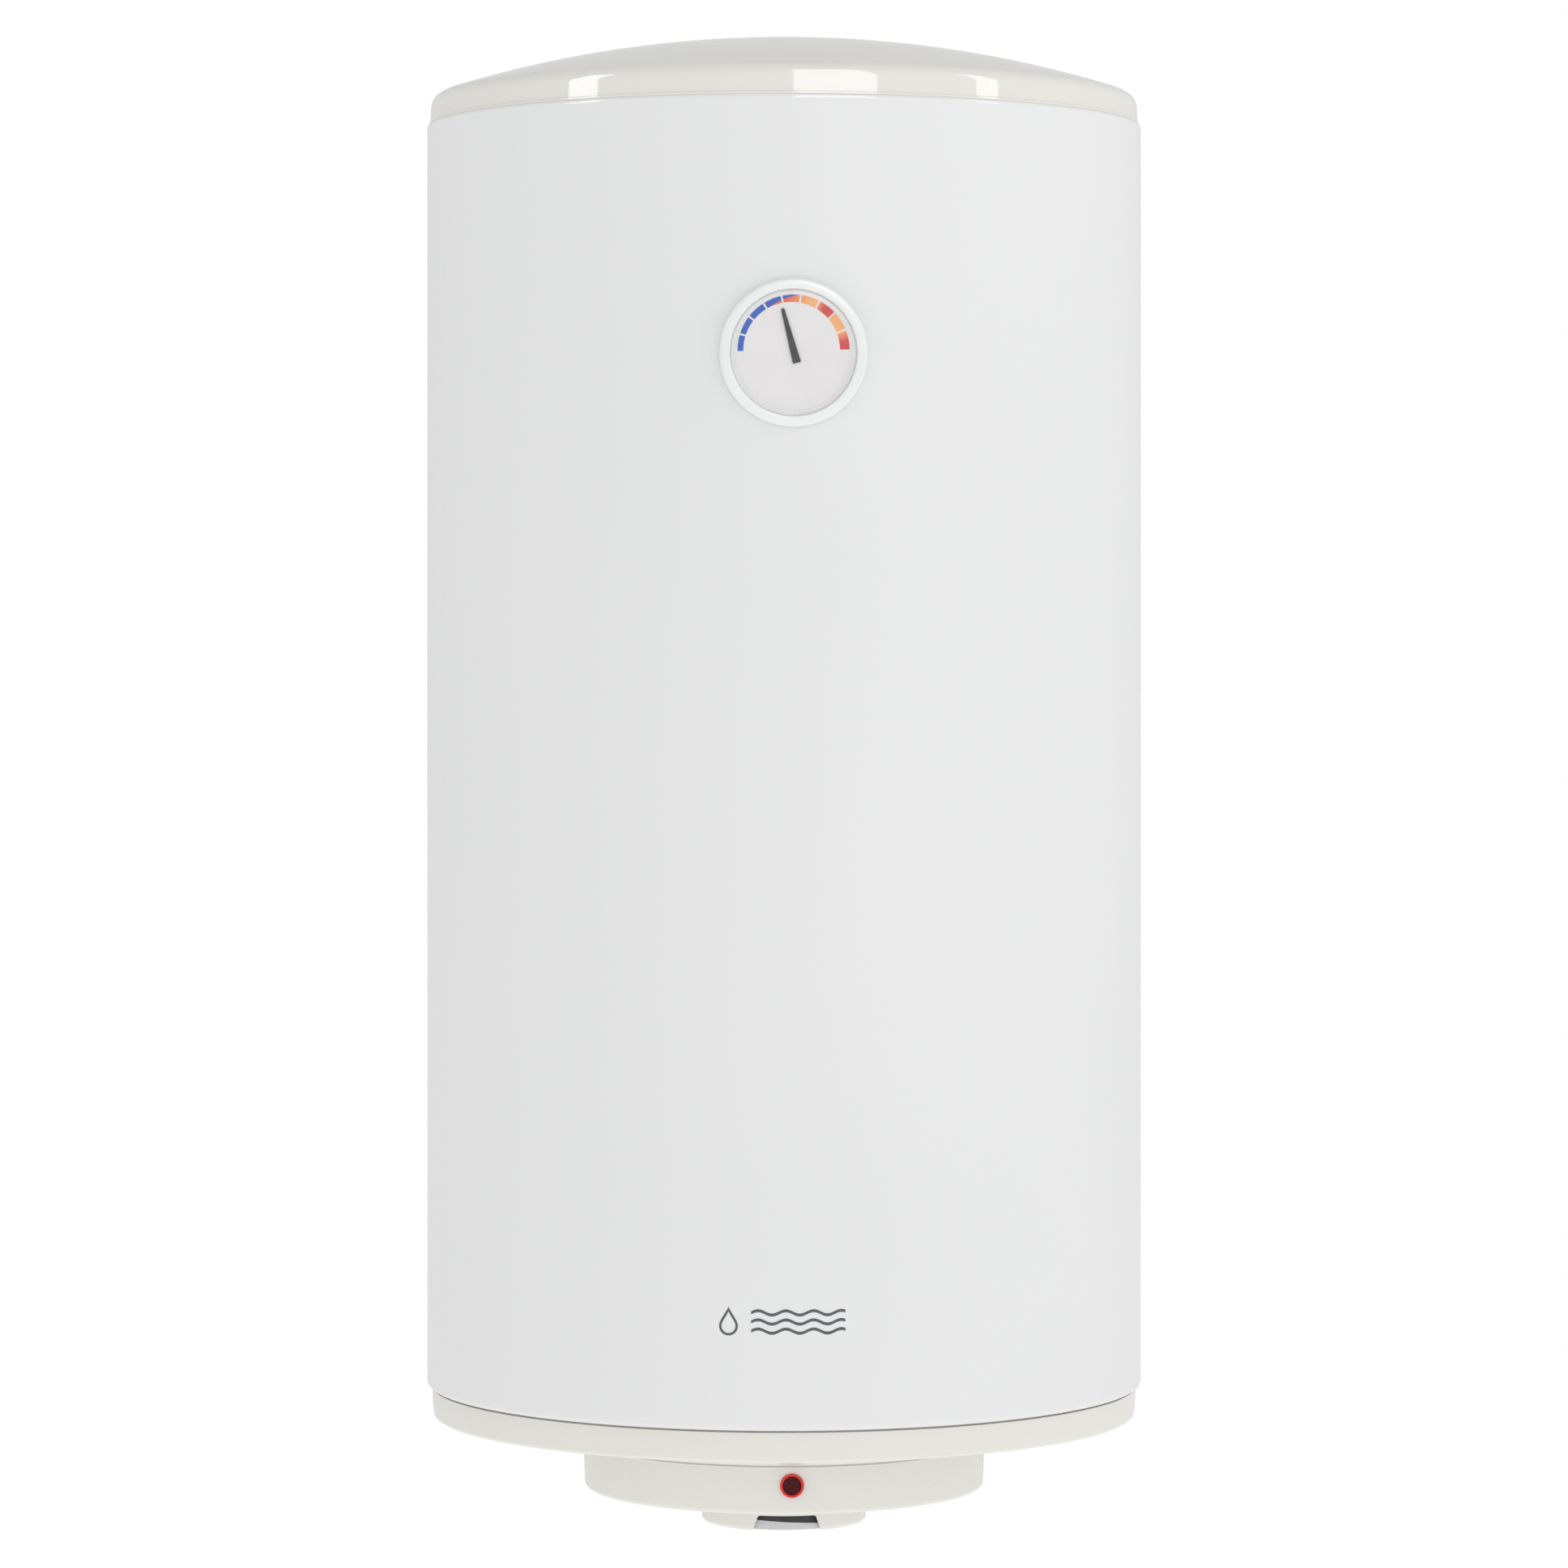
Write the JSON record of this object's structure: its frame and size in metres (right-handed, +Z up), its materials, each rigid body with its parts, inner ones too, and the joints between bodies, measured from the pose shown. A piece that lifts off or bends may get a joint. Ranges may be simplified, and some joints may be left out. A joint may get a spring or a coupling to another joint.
{
  "type": "tank water heater",
  "caption": "Wall-hung cylindrical electric storage water heater with a domed cap, dial thermometer, pilot lamp, underside temperature knob and wall bracket.",
  "frame": {"origin": "middle of the wall bracket's back face, in the plane of the wall", "axes": "+Z up along the tank, +Y into the wall, the thermometer and lamp face -Y, +X to the right seen from the front"},
  "size_m": [0.45, 0.4708, 0.9325],
  "materials": {
    "white_enamel": "baked white enamel on sheet steel, satin gloss",
    "ivory_plastic": "moulded warm white plastic, glossy",
    "white_plastic": "moulded cool white plastic, glossy",
    "grey_plastic": "moulded light grey plastic, satin",
    "black_plastic": "moulded black plastic, satin",
    "red_lens": "transparent red plastic, polished",
    "clear_lens": "clear plastic lens, polished",
    "pu_foam": "rigid polyurethane foam, pale yellow, rough",
    "tank_enamel": "glass enamel fired on steel, blue-black",
    "zinc_steel": "zinc-plated steel, dull bright",
    "copper": "copper, drawn tube and strip",
    "magnesium": "cast magnesium, matt grey",
    "rubber": "black rubber, matt",
    "blue_plastic": "blue plastic marking colour",
    "red_plastic": "red plastic marking colour",
    "brown_wire": "brown insulated copper wire",
    "blue_wire": "blue insulated copper wire",
    "earth_wire": "green insulated copper wire"
  },
  "bodies": {
    "heater": {"outer_jacket": "white_enamel", "top_cap": "ivory_plastic", "bottom_cap": "ivory_plastic", "electrical_cover": "ivory_plastic", "gauge_bezel": "white_plastic", "gauge_dial": "white_plastic", "thermostat_body": "white_plastic", "terminal_block": "white_plastic", "lamp_body": "white_plastic", "gauge_housing": "grey_plastic", "cold_water_diffuser": "grey_plastic", "cable_gland": "black_plastic", "gland_nut": "black_plastic", "lamp_lens": "red_lens", "gauge_lens": "clear_lens", "foam_insulation": "pu_foam", "tank_barrel": "tank_enamel", "tank_top_head": "tank_enamel", "tank_bottom_head": "tank_enamel", "flange_ring": "tank_enamel", "wall_bracket": "zinc_steel", "bracket_bolt_1": "zinc_steel", "bracket_bolt_2": "zinc_steel", "bracket_bolt_3": "zinc_steel", "bracket_bolt_4": "zinc_steel", "flange_plate": "zinc_steel", "flange_bolt_1": "zinc_steel", "flange_bolt_2": "zinc_steel", "flange_bolt_3": "zinc_steel", "flange_bolt_4": "zinc_steel", "flange_bolt_5": "zinc_steel", "flange_bolt_6": "zinc_steel", "anode_nut": "zinc_steel", "cold_inlet_stub": "zinc_steel", "hot_outlet_stub": "zinc_steel", "hot_standpipe": "zinc_steel", "cover_screw_left": "zinc_steel", "cover_screw_right": "zinc_steel", "heating_element": "copper", "thermostat_pocket": "copper", "thermostat_rod": "copper", "gauge_coil": "copper", "gauge_stem": "copper", "anode_rod": "magnesium", "flange_gasket": "rubber", "wall_spacer_left": "rubber", "wall_spacer_right": "rubber", "cold_pipe_ring": "blue_plastic", "hot_pipe_ring": "red_plastic", "wire_live": "brown_wire", "wire_element_left": "brown_wire", "wire_neutral": "blue_wire", "wire_element_right": "blue_wire", "wire_lamp": "blue_wire", "wire_earth": "earth_wire"},
    "knob": {"temperature_knob": "grey_plastic", "thermostat_spindle": "zinc_steel"},
    "needle": {"gauge_needle": "black_plastic", "gauge_arbor": "zinc_steel"},
    "reset": {"reset_button": "red_plastic"}
  },
  "joints": [
    {"name": "knob_turn", "type": "hinge", "parent": "heater", "child": "knob", "pos_m": [0, -0.24, -0.685], "axis": [0, 0, 1], "range_deg": [-165, 85]},
    {"name": "needle_swing", "type": "hinge", "parent": "heater", "child": "needle", "pos_m": [0, -0.465, 0.0195], "axis": [0, 1, 0], "range_deg": [-75, 105], "stiffness_Nm_per_rad": 0.002},
    {"name": "reset_press", "type": "slide", "parent": "heater", "child": "reset", "axis": [0, 0, 1], "range_m": [0, 0.0015], "stiffness_N_per_m": 400}
  ]
}
